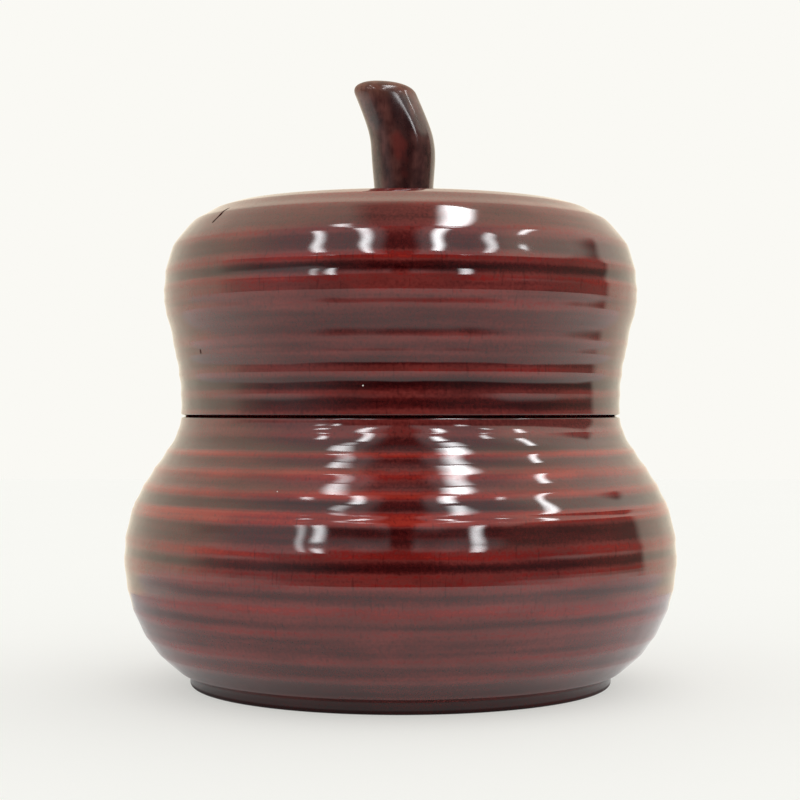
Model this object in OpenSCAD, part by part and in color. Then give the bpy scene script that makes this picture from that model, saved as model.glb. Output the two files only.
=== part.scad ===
// Kogo, a small incense box in the shape of a gourd. A turned bowl and a turned lid meet at the waist
// over a fitting ring, and a carved stem is let into the lid's crown as its knob.
// Millimetres. The origin is the centre of the foot and +Z is up. The stem leans towards -X.

/* [Bowl] */
// Greatest outside diameter, at the belly
belly_d = 65; // [62:0.5:70]
// Height of the belly's widest point
belly_z = 15.3; // [14:0.1:16.5]
// Height of the seam between bowl and lid
bowl_h = 31.5; // [30:0.5:36]
// Outside diameter at the seam
mouth_d = 51.8; // [48:0.2:53]
// Outside diameter of the foot
foot_d = 49.6; // [46:0.2:51]
// Height of the foot
foot_h = 1.4; // [1:0.1:2]
// Width of the ledge between the foot and the belly
foot_ledge = 0.4; // [0.2:0.1:0.8]
// Width of the ring that the foot stands on
foot_w = 3; // [2:0.5:6]
// Depth of the recess inside the foot
foot_recess = 0.8; // [0.4:0.1:1.2]
// Wall thickness at the belly
bowl_wall = 3.6; // [2.6:0.2:4.4]
// Thickness of the floor above the recess
floor_t = 3.4; // [2.6:0.2:5]

/* [Lid] */
// Greatest outside diameter, at the swell
lid_d = 55.9; // [54.5:0.1:59]
// Height of the swell above the seam
swell_h = 14.3; // [13:0.1:16]
// Diameter of the crown's edge
crown_d = 41; // [38:0.5:44]
// Height of the crown's edge above the seam
crown_h = 24.75; // [23.5:0.25:27]
// Rise of the crown from its edge to the stem
crown_rise = 0.7; // [0.3:0.1:1]
// Thickness of the crown under the stem
crown_t = 5.6; // [5:0.2:7]
// Wall thickness at the swell
lid_wall = 3.6; // [2.6:0.2:4]
// Thickness of the lip that goes round the fitting ring
lip_t = 2.2; // [1.8:0.1:2.6]

/* [Fitting ring] */
// Wall thickness of the ring
ring_t = 1.6; // [1.2:0.1:2.2]
// Height of the ring above the seam
ring_up = 4.2; // [3:0.2:6]
// Depth of the ring's seat below the seam
ring_down = 4; // [3:0.2:5]
// Gap all round between the ring and the lid
lid_fit = 0.15; // [0.1:0.05:0.3]
// Room between the ring's top and the lid's hollow
headroom = 0.4; // [0.2:0.1:1]

/* [Stem] */
// Height of the stem above the crown
stem_h = 14.3; // [10:0.1:18]
// Greatest thickness of the stem
stem_d = 7.8; // [6.4:0.1:9]
// Thickness of the stem where it stands on the crown
stem_root_d = 6.9; // [5.4:0.1:7.4]
// How far the tip leans over
stem_lean = 3; // [0:0.1:5]
// How far the stem's foot stands off the axis, away from the lean
stem_off = 0.4; // [0:0.1:0.6]
// Depth of the creases along the stem
crease = 0.55; // [0.1:0.05:0.7]
// Diameter of the tenon under the stem
tenon_d = 4; // [3:0.2:4.6]
// Length of the tenon
tenon_l = 4; // [3:0.2:4]

/* [Turning] */
// Depth of a flute
flute_depth = 0.1; // [0.04:0.02:0.24]
// Easing of the edges at the seam
seam_ease = 0.3; // [0.1:0.05:0.5]
// Easing of the ring's and the foot's edges
edge_ease = 0.4; // [0.2:0.1:0.6]
// Glue line of the pieces that are glued in
glue_gap = 0.05; // [0.02:0.01:0.08]

/* [Hidden] */
$fn = 96;

// Widths of the bowl's flutes from the foot to the seam, fitted to the curve's length
bowl_flutes = [0.9, 3.5, 2.55, 3.25, 2.4, 2.85, 0.85, 2.3, 3.4, 0.75, 2.35, 2.4, 2.45, 2.6, 1.45];
// Widths of the lid's flutes from the seam to the stem, fitted to the curve's length
lid_flutes = [2.2, 2.3, 2.1, 1.5, 3.6, 1.55, 1.35, 2.2, 3.15, 3.8, 2.7, 3.6, 3.4, 3.2, 3, 2.8, 2];
// A flute is cut no deeper than this share of its width
flute_ratio = 0.045;
// Straight steps along one curve and across one flute
curve_steps = 12;
flute_steps = 5;
// Half the length over which a curve's direction is taken
reach = 0.2;

// Handles of the belly's curve: out of the foot, up to the belly, past it and into the neck
foot_handle = [3.2, 1.5];
under_belly = 7.6;
over_belly = 8.4;
neck_handle = [0.7, -4.4];
// Handles of the lid's curve: off the rim, up to the swell, past it and into the crown's edge
rim_handle = 7.2;
under_swell = 3.1;
over_swell = 7;
edge_handle = [4, -1.4];
crown_handle = [-6, 0.5];
pad_handle = 5;
// Handles of the two hollows
throat_handle = 2;
hollow_over = 6;
hollow_under = 6.5;
floor_handle = 9;
socket_handle = 3;
ceiling_handle = 10;
ceiling_rise = 3.5;

belly_r = belly_d / 2;
mouth_r = mouth_d / 2;
foot_r = foot_d / 2;
lid_r = lid_d / 2;
socket_r = mouth_r - lip_t;
ring_r = socket_r - lid_fit;
throat_r = ring_r - ring_t;
seat_z = bowl_h - ring_down;
floor_z = foot_recess + floor_t;
bowl_hollow_r = belly_r - bowl_wall;
floor_r = bowl_hollow_r / 2;

swell_z = bowl_h + swell_h;
crown_z = bowl_h + crown_h;
crown_top = crown_z + crown_rise;
pad_r = stem_root_d / 2 + stem_off + edge_ease;
socket_top = bowl_h + ring_up + headroom;
lid_hollow_r = lid_r - lid_wall;
ceiling_z = crown_top - crown_t;
ceiling_r = lid_hollow_r / 3;
mortise_r = tenon_d / 2 + glue_gap;
mortise_z = crown_top - tenon_l - glue_gap;

// Stem: sides round it, rings up it, where the bend and the rounded end begin, and the creases
stem_sides = 48;
stem_rings = 22;
bend_ratio = 0.53;
bend_soft_ratio = 0.13;
end_ratio = 0.87;
end_power = 2.8;
end_least_ratio = 0.02;
full_ratio = 0.45;
creases = 3;
crease_width_angle = 26;
crease_flare_ratio = 0.9;
crease_root_angle = -88;
crease_turn_angle = 14;

// One cubic curve without its last point
function curve(a, b, c, d) = [
    for (i = [0 : curve_steps - 1])
        let (t = i / curve_steps, u = 1 - t)
            a * u * u * u + b * 3 * t * u * u + c * 3 * t * t * u + d * t * t * t
];

// Length along a line up to each of its points
function lengths(p) = [
    for (i = 0, s = 0; i < len(p); s = s + (i + 1 < len(p) ? norm(p[i + 1] - p[i]) : 0), i = i + 1) s
];

// Sum of the first n entries of a list
function sum_to(list, n) = n == 0 ? 0 : list[n - 1] + sum_to(list, n - 1);

// A line with flutes hollowed into the side on its right, whose crests lie on the line
function fluted(p, widths) =
    let (
        s = lengths(p),
        total = s[len(s) - 1],
        unit = total / sum_to(widths, len(widths)),
        r_at = [for (i = [0 : len(p) - 1]) [s[i], p[i][0]]],
        z_at = [for (i = [0 : len(p) - 1]) [s[i], p[i][1]]]
    )
    [
        for (i = [0 : len(widths) - 1])
            for (k = [0 : flute_steps - (i == len(widths) - 1 ? 0 : 1)])
                let (
                    t = k / flute_steps,
                    at = (sum_to(widths, i) + t * widths[i]) * unit,
                    ahead = [lookup(at + reach, r_at), lookup(at + reach, z_at)],
                    behind = [lookup(at - reach, r_at), lookup(at - reach, z_at)],
                    way = (ahead - behind) / norm(ahead - behind),
                    depth = min(flute_depth, flute_ratio * widths[i] * unit) * 4 * t * (1 - t)
                )
                [lookup(at, r_at) - way[1] * depth, lookup(at, z_at) + way[0] * depth]
    ];

// Outside of the bowl from the foot's ledge up to the eased edge at the seam
bowl_line = concat(
    curve(
        [foot_r + foot_ledge, foot_h],
        [foot_r + foot_ledge, foot_h] + foot_handle,
        [belly_r, belly_z - under_belly],
        [belly_r, belly_z]
    ),
    curve(
        [belly_r, belly_z],
        [belly_r, belly_z + over_belly],
        [mouth_r, bowl_h - seam_ease] + neck_handle,
        [mouth_r, bowl_h - seam_ease]
    ),
    [[mouth_r, bowl_h - seam_ease]]
);

// Inside of the bowl from the ring's seat down to the floor
bowl_hollow = concat(
    curve(
        [throat_r, seat_z],
        [throat_r, seat_z - throat_handle],
        [bowl_hollow_r, belly_z + hollow_over],
        [bowl_hollow_r, belly_z]
    ),
    curve(
        [bowl_hollow_r, belly_z],
        [bowl_hollow_r, belly_z - hollow_under],
        [floor_r + floor_handle, floor_z],
        [floor_r, floor_z]
    ),
    [[floor_r, floor_z]]
);

// Outside of the lid from the eased edge at the seam up to the flat round the stem
lid_line = concat(
    curve(
        [mouth_r, bowl_h + seam_ease],
        [mouth_r, bowl_h + seam_ease + rim_handle],
        [lid_r, swell_z - under_swell],
        [lid_r, swell_z]
    ),
    curve(
        [lid_r, swell_z],
        [lid_r, swell_z + over_swell],
        [crown_d / 2, crown_z] + edge_handle,
        [crown_d / 2, crown_z]
    ),
    curve(
        [crown_d / 2, crown_z],
        [crown_d / 2, crown_z] + crown_handle,
        [pad_r + pad_handle, crown_top],
        [pad_r, crown_top]
    ),
    [[pad_r, crown_top]]
);

// Inside of the lid from the ceiling down to the socket for the ring
lid_hollow = concat(
    curve(
        [ceiling_r, ceiling_z],
        [ceiling_r + ceiling_handle, ceiling_z],
        [lid_hollow_r, swell_z + ceiling_rise],
        [lid_hollow_r, swell_z]
    ),
    curve(
        [lid_hollow_r, swell_z],
        [lid_hollow_r, swell_z - socket_handle],
        [socket_r, socket_top + socket_handle],
        [socket_r, socket_top]
    ),
    [[socket_r, socket_top]]
);

// Share of the way from a to b, eased at both ends
function eased(x, a, b) =
    let (t = min(1, max(0, (x - a) / (b - a)))) t * t * (3 - 2 * t);

// Thickness of the stem's section, its lean and its turn at a share u of the height
function stem_r(u) =
    let (
        body = stem_root_d / 2 + (stem_d - stem_root_d) / 2 * eased(u, 0, full_ratio),
        over = max(0, (u - end_ratio) / (1 - end_ratio))
    )
    body * sqrt(max(end_least_ratio, 1 - pow(over, end_power)));
function bend(u) = u - bend_ratio + norm([u - bend_ratio, bend_soft_ratio]);
function stem_x(u) = stem_off - stem_lean * (bend(u) - bend(0)) / (bend(1) - bend(0));
function stem_turn(u) = crease_root_angle + crease_turn_angle * u;
// A crease is narrow at the foot and opens towards the tip
function crease_spread(u) = crease_width_angle * (1 + crease_flare_ratio * (u - full_ratio));

// Angle from a direction to the nearest crease
function from_crease(a) =
    let (share = a * creases / 360) (share - round(share)) * 360 / creases;

// One ring of points round the stem
function stem_ring(u) = [
    for (i = [0 : stem_sides - 1])
        let (
            a = 360 * i / stem_sides,
            off = from_crease(a - stem_turn(u)) / crease_spread(u),
            r = stem_r(u) * (1 - 2 * crease / stem_d * exp(-off * off) * eased(u, 0, full_ratio))
        )
        [stem_x(u) + r * cos(a), r * sin(a), crown_top + stem_h * u]
];

// Rings stand closer together towards the rounded end
function ring_share(j) = let (t = j / stem_rings) 1 - (1 - t) * (1 - t);

module bowl() {
    color("saddlebrown")
        rotate_extrude()
            polygon(concat(
                [
                    [0, foot_recess],
                    [foot_r - foot_w - foot_recess, foot_recess],
                    [foot_r - foot_w, 0],
                    [foot_r - edge_ease, 0],
                    [foot_r, edge_ease],
                    [foot_r, foot_h]
                ],
                fluted(bowl_line, bowl_flutes),
                [
                    [mouth_r - seam_ease, bowl_h],
                    [ring_r + glue_gap, bowl_h],
                    [ring_r + glue_gap, seat_z]
                ],
                bowl_hollow,
                [[0, floor_z]]
            ));
}

module fitting_ring() {
    color("dimgray")
        rotate_extrude()
            polygon([
                [throat_r, seat_z],
                [ring_r, seat_z],
                [ring_r, bowl_h + ring_up - edge_ease],
                [ring_r - edge_ease, bowl_h + ring_up],
                [throat_r + edge_ease, bowl_h + ring_up],
                [throat_r, bowl_h + ring_up - edge_ease]
            ]);
}

module lid() {
    color("sienna")
        rotate_extrude()
            polygon(concat(
                [
                    [socket_r, bowl_h],
                    [mouth_r - seam_ease, bowl_h]
                ],
                fluted(lid_line, lid_flutes),
                [
                    [mortise_r, crown_top],
                    [mortise_r, mortise_z],
                    [0, mortise_z],
                    [0, ceiling_z]
                ],
                lid_hollow
            ));
}

module stem() {
    rings = [for (j = [0 : stem_rings]) stem_ring(ring_share(j))];
    points = [for (ring = rings) for (p = ring) p];
    last = stem_rings * stem_sides;
    sides = [
        for (j = [0 : stem_rings - 1])
            for (i = [0 : stem_sides - 1])
                let (
                    a = j * stem_sides + i,
                    b = j * stem_sides + (i + 1) % stem_sides
                )
                each [[a, a + stem_sides, b], [b, a + stem_sides, b + stem_sides]]
    ];
    root = [for (i = [0 : stem_sides - 1]) i];
    tip = [for (i = [stem_sides - 1 : -1 : 0]) last + i];
    color("maroon") {
        polyhedron(points, concat(sides, [root], [tip]));
        translate([0, 0, crown_top - tenon_l])
            cylinder(d = tenon_d, h = tenon_l + tenon_d / 2);
    }
}

bowl();
fitting_ring();
lid();
stem();
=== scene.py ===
"""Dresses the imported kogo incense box: turned bowl and lid, fitting ring and carved stem, all lacquered."""
import logging
import math
from bisect import bisect_right
from dataclasses import dataclass
from enum import Enum
from functools import partial, reduce
from typing import Sequence

import bmesh
import bpy
from mathutils import Matrix, Vector, noise


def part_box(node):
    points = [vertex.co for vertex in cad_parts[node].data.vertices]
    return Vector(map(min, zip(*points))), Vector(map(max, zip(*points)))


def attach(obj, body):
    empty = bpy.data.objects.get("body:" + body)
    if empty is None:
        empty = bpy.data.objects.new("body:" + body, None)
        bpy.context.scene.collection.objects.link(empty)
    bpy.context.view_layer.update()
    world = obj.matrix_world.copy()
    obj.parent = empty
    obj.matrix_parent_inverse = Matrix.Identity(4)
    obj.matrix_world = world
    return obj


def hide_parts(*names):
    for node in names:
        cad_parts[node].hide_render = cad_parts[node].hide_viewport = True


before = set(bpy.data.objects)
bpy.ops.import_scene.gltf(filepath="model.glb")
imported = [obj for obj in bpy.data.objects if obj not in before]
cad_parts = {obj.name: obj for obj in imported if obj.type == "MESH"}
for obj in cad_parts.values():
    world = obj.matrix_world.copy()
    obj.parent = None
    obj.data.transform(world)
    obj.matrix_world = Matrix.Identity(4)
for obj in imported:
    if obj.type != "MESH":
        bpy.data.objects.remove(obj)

LOG = logging.getLogger("kogo")
MM = 0.001
WORN = "worn"
WELD = 1e-7

Point = tuple[float, float]
Point3 = tuple[float, float, float]
Colour = tuple[float, float, float]
Node = bpy.types.Node
Socket = bpy.types.NodeSocket
Material = bpy.types.Material

BLACK: Colour = (0.0, 0.0, 0.0)


class Side(Enum):
    """Which lacquer a turned face carries, as the index of its material slot."""

    OUTSIDE = 0
    INSIDE = 1


# Profile lines


def cubic(start: Point, leave: Point, arrive: Point, end: Point, steps: int = 40) -> list[Point]:
    """Points along one cubic curve, without its last point.

    Args:
        start: Start of the curve.
        leave: Move from the start to its handle.
        arrive: Move from the end to its handle.
        end: End of the curve.
        steps: Number of points.

    Returns:
        The points from the start up to, but not including, the end.
    """
    b = (start[0] + leave[0], start[1] + leave[1])
    c = (end[0] + arrive[0], end[1] + arrive[1])
    points = []
    for i in range(steps):
        t = i / steps
        u = 1 - t
        weights = (u * u * u, 3 * t * u * u, 3 * t * t * u, t * t * t)
        points.append(tuple(sum(w * p[k] for w, p in zip(weights, (start, b, c, end))) for k in (0, 1)))
    return points


def eased(x: float, low: float, high: float) -> float:
    """Share of the way from low to high, from 0 to 1, eased at both ends."""
    t = min(1.0, max(0.0, (x - low) / (high - low)))
    return t * t * (3 - 2 * t)


def corner(centre: Point, radius: float, start: float, end: float, steps: int = 5) -> list[Point]:
    """Points of a round corner, both ends included, by angles in degrees from the outward direction."""
    angles = [math.radians(start + (end - start) * i / steps) for i in range(steps + 1)]
    return [(centre[0] + radius * math.cos(a), centre[1] + radius * math.sin(a)) for a in angles]


@dataclass(frozen=True)
class Flute:
    """One turned flute and the crest at its far end, with how far the dark lacquer is worn on each.

    The share is how much of a flute's full depth it is cut to.
    """

    width: float
    crest: float
    spread: float
    ground: float
    share: float = 1.0


class TurnedLine:
    """A profile line beside the turning axis that is read by the length along it."""

    def __init__(self, points: Sequence[Point]) -> None:
        """Keep the points and the length up to each of them.

        Args:
            points: Radius and height of each point, in millimetres.
        """
        self.points = [Vector(p) for p in points]
        self.lengths = [0.0]
        for a, b in zip(self.points, self.points[1:]):
            self.lengths.append(self.lengths[-1] + (b - a).length)

    @property
    def total(self) -> float:
        """Whole length of the line."""
        return self.lengths[-1]

    def at(self, s: float) -> Vector:
        """Point at a length along the line.

        Args:
            s: Length from the start.

        Returns:
            Radius and height there.
        """
        s = min(max(s, 0.0), self.total)
        high = min(bisect_right(self.lengths, s), len(self.lengths) - 1)
        before, after = self.lengths[high - 1], self.lengths[high]
        return self.points[high - 1].lerp(self.points[high], (s - before) / (after - before))

    def outward(self, s: float, reach: float = 0.2) -> Vector:
        """Direction square to the line, on its right, taken over a reach to both sides."""
        way = (self.at(s + reach) - self.at(s - reach)).normalized()
        return Vector((way.y, -way.x))


@dataclass(frozen=True)
class Fluting:
    """How the turner's gouge cuts flutes along a line."""

    depth: float = 0.1
    ratio: float = 0.045
    rounding: float = 1.3
    steps: int = 16
    crest_from: float = 0.25
    crest_to: float = 2.1

    def cut(self, line: TurnedLine, flutes: Sequence[Flute]) -> tuple[list[Point], list[float]]:
        """Hollow flutes into a line whose crests stay on it.

        Args:
            line: The line through the crests.
            flutes: The flutes in order, with widths that are fitted to the line's length.

        Returns:
            The fluted points, and how far the dark lacquer is worn away at each of them.
        """
        unit = line.total / sum(f.width for f in flutes)
        start = 0.0
        before = flutes[0]
        points: list[Point] = []
        worn: list[float] = []
        for flute in flutes:
            width = flute.width * unit
            depth = min(self.depth, self.ratio * width) * flute.share
            for k in range(self.steps):
                t = (1 - math.cos(math.pi * k / self.steps)) / 2
                place = line.at(start + t * width)
                place -= line.outward(start + t * width) * depth * math.sin(math.pi * t) ** self.rounding
                points.append((place.x, place.y))
                near = [
                    (crest - flute.ground) * (1 - eased(away / spread, self.crest_from, self.crest_to))
                    for crest, spread, away in (
                        (before.crest, before.spread, t * width),
                        (flute.crest, flute.spread, (1 - t) * width),
                    )
                ]
                worn.append(flute.ground + max(near, key=abs))
            start += width
            before = flute
        points.append(tuple(line.at(line.total)))
        worn.append(before.crest)
        return points, worn


# Mesh helpers


@dataclass
class Lathe:
    """Spins profile lines into one mesh and gives each line its side and wear."""

    name: str
    steps: int = 14
    doublings: int = 4

    def __post_init__(self) -> None:
        """Start an empty mesh with a layer for the wear."""
        self.bm = bmesh.new()
        self.worn = self.bm.verts.layers.float.new(WORN)

    def spin(self, points: Sequence[Point], side: Side, worn: Sequence[float] | None = None) -> None:
        """Spin one profile line through a sector and copy that round the axis.

        Args:
            points: Radius and height of each point, in millimetres.
            side: Which lacquer its faces carry.
            worn: Wear of each point, none where left out.
        """
        verts = []
        for i, (r, z) in enumerate(points):
            vert = self.bm.verts.new((r * MM, 0.0, z * MM))
            vert[self.worn] = worn[i] if worn else 0.0
            verts.append(vert)
        edges = [self.bm.edges.new(pair) for pair in zip(verts, verts[1:])]
        axis = Vector((0, 0, 1))
        angle = 2 * math.pi / 2**self.doublings
        start = set(self.bm.verts) - set(verts)
        bmesh.ops.spin(self.bm, geom=verts + edges, cent=(0, 0, 0), axis=axis, angle=angle, steps=self.steps)
        fresh = [v for v in self.bm.verts if v not in start]
        faces = list({f for v in fresh for f in v.link_faces})
        for face in faces:
            face.material_index = side.value
        for _ in range(self.doublings):
            made = bmesh.ops.duplicate(self.bm, geom=faces)["geom"]
            moved = [g for g in made if isinstance(g, bmesh.types.BMVert)]
            bmesh.ops.rotate(self.bm, verts=moved, cent=(0, 0, 0), matrix=Matrix.Rotation(angle, 3, axis))
            faces += [g for g in made if isinstance(g, bmesh.types.BMFace)]
            angle *= 2

    def weld(self) -> None:
        """Weld the lines together and turn the faces outwards."""
        bmesh.ops.remove_doubles(self.bm, verts=self.bm.verts, dist=WELD)
        bmesh.ops.recalc_face_normals(self.bm, faces=self.bm.faces)

    def finish(self, materials: Sequence[Material]) -> bpy.types.Object:
        """Weld the lines together and make the object, with materials in the order of Side."""
        self.weld()
        return as_object(self.name, self.bm, materials)


def as_object(name: str, bm: bmesh.types.BMesh, materials: Sequence[Material]) -> bpy.types.Object:
    """Turn a bmesh into a smooth-shaded object at the origin.

    Args:
        name: Name of the piece.
        bm: The mesh, which is freed.
        materials: Materials for its slots, in order.

    Returns:
        The new object, linked to the scene.
    """
    mesh = bpy.data.meshes.new(name)
    bm.to_mesh(mesh)
    bm.free()
    for material in materials:
        mesh.materials.append(material)
    mesh.shade_smooth()
    obj = bpy.data.objects.new(name, mesh)
    bpy.context.scene.collection.objects.link(obj)
    return obj


@dataclass(frozen=True)
class HandWork:
    """Slight unevenness of an outside that is turned and brushed by hand, in millimetres."""

    amount: float = 0.06
    slow_scale: float = 0.12
    quick_scale: float = 0.4
    mean_share: float = 0.5
    slow_share: float = 0.35
    quick_share: float = 0.15
    fade: float = 1.0

    def draw_in(self, obj: bpy.types.Object, low: float, high: float, seed: float) -> None:
        """Draw the outside in by a little that changes round the piece.

        Args:
            obj: The piece.
            low: Height below which nothing moves, in millimetres.
            high: Height above which nothing moves.
            seed: Offset into the noise.
        """
        mesh = obj.data
        outside = {
            i for face in mesh.polygons if face.material_index == Side.OUTSIDE.value for i in face.vertices
        }
        for i in outside:
            co = mesh.vertices[i].co
            z = co.z / MM
            radius = math.hypot(co.x, co.y)
            if radius < MM or not low < z < high:
                continue
            fade = eased(min(z - low, high - z), 0.0, self.fade)
            spot = Vector((co.x / MM, co.y / MM, z))
            slow = noise.noise(spot * self.slow_scale + Vector((0, 0, seed)))
            quick = noise.noise(spot * self.quick_scale + Vector((seed, 0, 0)))
            share = self.mean_share + self.slow_share * slow + self.quick_share * quick
            move = share * self.amount * fade * MM
            co.x *= 1 - move / radius
            co.y *= 1 - move / radius


# Node helpers


class Nodes:
    """A node tree with short calls for adding and linking nodes.

    A value in these calls is a socket to link, or a number, vector or colour to set.
    """

    def __init__(self, tree: bpy.types.NodeTree) -> None:
        """Keep the tree and clear it."""
        self.tree = tree
        tree.nodes.clear()

    def link(self, output: Socket, target: Socket) -> None:
        """Link an output to an input."""
        self.tree.links.new(output, target)

    def add(self, kind: str, settings: dict | None = None, values: dict | None = None) -> Node:
        """Add a node.

        Args:
            kind: Type of the node.
            settings: Properties of the node.
            values: Values of its inputs by name or index.

        Returns:
            The node.
        """
        node = self.tree.nodes.new(kind)
        for key, value in (settings or {}).items():
            setattr(node, key, value)
        for key, value in (values or {}).items():
            socket = node.inputs[key]
            if isinstance(value, Socket):
                self.link(value, socket)
            elif socket.type == "RGBA":
                socket.default_value = (*value, 1.0)
            else:
                socket.default_value = value
        return node

    def math(self, operation: str, *values: object, clamp: bool = False) -> Socket:
        """Add a Math node, clamped to 0 and 1 where asked."""
        settings = {"operation": operation, "use_clamp": clamp}
        return self.add("ShaderNodeMath", settings, dict(enumerate(values))).outputs[0]

    def times(self, *factors: object) -> Socket:
        """Multiply the factors in order."""
        return reduce(partial(self.math, "MULTIPLY"), factors)

    def vector(self, operation: str, *sources: Socket) -> Node:
        """Add a Vector Math node."""
        return self.add("ShaderNodeVectorMath", {"operation": operation}, dict(enumerate(sources)))

    def where(self, space: str = "Object") -> Socket:
        """Place of the shaded point."""
        return self.add("ShaderNodeTexCoord").outputs[space]

    def axes(self, vector: Socket) -> list[Socket]:
        """The X, Y and Z of a vector."""
        return list(self.add("ShaderNodeSeparateXYZ", values={"Vector": vector}).outputs)

    def span(
        self, value: Socket, low: float, high: float, out_low: float = 0.0, out_high: float = 1.0
    ) -> Socket:
        """Map a range smoothly to another, low to out_low and high to out_high."""
        ends = {"Value": value, "From Min": low, "From Max": high, "To Min": out_low, "To Max": out_high}
        return self.add("ShaderNodeMapRange", {"interpolation_type": "SMOOTHSTEP"}, ends).outputs["Result"]

    def mix(self, factor: object, a: object, b: object, blend: str = "MIX") -> Socket:
        """Mix colour b into colour a."""
        settings = {"data_type": "RGBA", "blend_type": blend}
        return self.add("ShaderNodeMix", settings, {0: factor, 6: a, 7: b}).outputs[2]

    def ramp(self, factor: Socket, stops: Sequence[tuple[float, Colour]]) -> Socket:
        """Add a colour ramp.

        Args:
            factor: Socket to read.
            stops: Place and colour of each stop, in order, from 0 to 1.

        Returns:
            The colour's socket.
        """
        node = self.add("ShaderNodeValToRGB", values={"Fac": factor})
        elements = node.color_ramp.elements
        for place, _ in stops[1:-1]:
            elements.new(place)
        for element, (place, colour) in zip(elements, stops):
            element.position = place
            element.color = (*colour, 1.0)
        return node.outputs["Color"]

    def noise(self, scale: Point3, detail: float) -> Socket:
        """Noise in object space.

        Args:
            scale: Stretch of the pattern along X, Y and Z, in features per metre.
            detail: Number of octaves.

        Returns:
            The noise value's socket.
        """
        place = self.add("ShaderNodeMapping", values={"Vector": self.where(), "Scale": scale}).outputs[0]
        values = {"Vector": place, "Scale": 1.0, "Detail": detail}
        return self.add("ShaderNodeTexNoise", values=values).outputs[0]

    def group(self, tree: bpy.types.NodeTree, values: dict) -> Node:
        """Place a shader group."""
        return self.add("ShaderNodeGroup", {"node_tree": tree}, values)

    def worn(self) -> Socket:
        """How far a point is worn, or how deep it lies in a crease."""
        return self.add("ShaderNodeAttribute", {"attribute_name": WORN}).outputs["Fac"]

    def emission(self, colour: Colour, strength: object = 1.0) -> Socket:
        """Add an Emission shader."""
        return self.add("ShaderNodeEmission", values={"Color": colour, "Strength": strength}).outputs[0]

    def blend(self, factor: Socket, a: Socket, b: Socket) -> Socket:
        """Mix shader b into shader a."""
        return self.add("ShaderNodeMixShader", values={0: factor, 1: a, 2: b}).outputs[0]


class Effects:
    """Shader groups that several lacquers share."""

    dust_cells: float = 230.0

    def __init__(self) -> None:
        """Build each group once."""
        self.grain = self._grain()
        self.dust = self._dust()
        self.nick = self._nick()

    @staticmethod
    def _group(
        name: str, inputs: dict[str, float | Point3], outputs: Sequence[str]
    ) -> tuple[Nodes, Node, Node]:
        """Start a group.

        Args:
            name: Name of the group.
            inputs: Input names with their default values, numbers or vectors.
            outputs: Output names.

        Returns:
            The group's nodes, its input node and its output node.
        """
        tree = bpy.data.node_groups.new(name, "ShaderNodeTree")
        for key, value in inputs.items():
            kind = "NodeSocketVector" if isinstance(value, tuple) else "NodeSocketFloat"
            socket = tree.interface.new_socket(key, in_out="INPUT", socket_type=kind)
            socket.default_value = value
        for key in outputs:
            tree.interface.new_socket(key, in_out="OUTPUT", socket_type="NodeSocketFloat")
        nodes = Nodes(tree)
        return nodes, nodes.add("NodeGroupInput"), nodes.add("NodeGroupOutput")

    def _grain(self) -> bpy.types.NodeTree:
        """Turning streaks, upright pores, a fine mottle, broad clouds and drifts along the turning.

        Returns:
            The group, with an output for each of them.
        """
        names = ("Streak", "Pore", "Mottle", "Cloud", "Drift")
        nodes, entry, leave = self._group("lacquered_grain", {"Pore Amount": 0.5}, names)
        pore = nodes.span(nodes.noise((3600, 3600, 420), 1.0), 0.62, 0.72)
        layers = (
            nodes.span(nodes.noise((70, 70, 1500), 3.0), 0.3, 0.7),
            nodes.times(pore, entry.outputs["Pore Amount"]),
            nodes.noise((3000, 3000, 3000), 2.0),
            nodes.span(nodes.noise((130, 130, 260), 2.0), 0.3, 0.7),
            nodes.span(nodes.noise((55, 55, 620), 2.0), 0.3, 0.7),
        )
        for name, layer in zip(names, layers):
            nodes.link(layer, leave.inputs[name])
        return nodes.tree

    def _dust(self) -> bpy.types.NodeTree:
        """A few tiny pale specks of dust.

        Returns:
            The group, with the output Dust.
        """
        nodes, entry, leave = self._group("dust_specks", {"Size": 0.02, "Share": 0.1}, ("Dust",))
        cells = nodes.add("ShaderNodeTexVoronoi", values={"Vector": nodes.where(), "Scale": self.dust_cells})
        near = nodes.math("LESS_THAN", cells.outputs["Distance"], entry.outputs["Size"])
        split = nodes.add("ShaderNodeSeparateColor", values={"Color": cells.outputs["Color"]})
        chosen = nodes.math("LESS_THAN", split.outputs["Red"], entry.outputs["Share"])
        nodes.link(nodes.times(near, chosen), leave.inputs["Dust"])
        return nodes.tree

    def _nick(self) -> bpy.types.NodeTree:
        """A short nick between two points.

        Returns:
            The group, with the output Depth.
        """
        inputs = {"Width": 0.0003, "Start": (0.0, 0.0, 0.0), "Reach": (0.0, 0.0, 0.0)}
        nodes, entry, leave = self._group("nick", inputs, ("Depth",))
        reach = entry.outputs["Reach"]
        away = nodes.vector("SUBTRACT", nodes.where(), entry.outputs["Start"]).outputs["Vector"]
        along = nodes.vector("DOT_PRODUCT", away, reach).outputs["Value"]
        whole = nodes.vector("DOT_PRODUCT", reach, reach).outputs["Value"]
        share = nodes.math("DIVIDE", along, whole, clamp=True)
        nearest = nodes.add("ShaderNodeVectorMath", {"operation": "SCALE"}, {0: reach, "Scale": share})
        gap = nodes.vector("DISTANCE", away, nearest.outputs["Vector"]).outputs["Value"]
        ratio = nodes.math("DIVIDE", gap, entry.outputs["Width"])
        nodes.link(nodes.span(ratio, 0.45, 1.0, 1.0, 0.0), leave.inputs["Depth"])
        return nodes.tree


# Finishes


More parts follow.
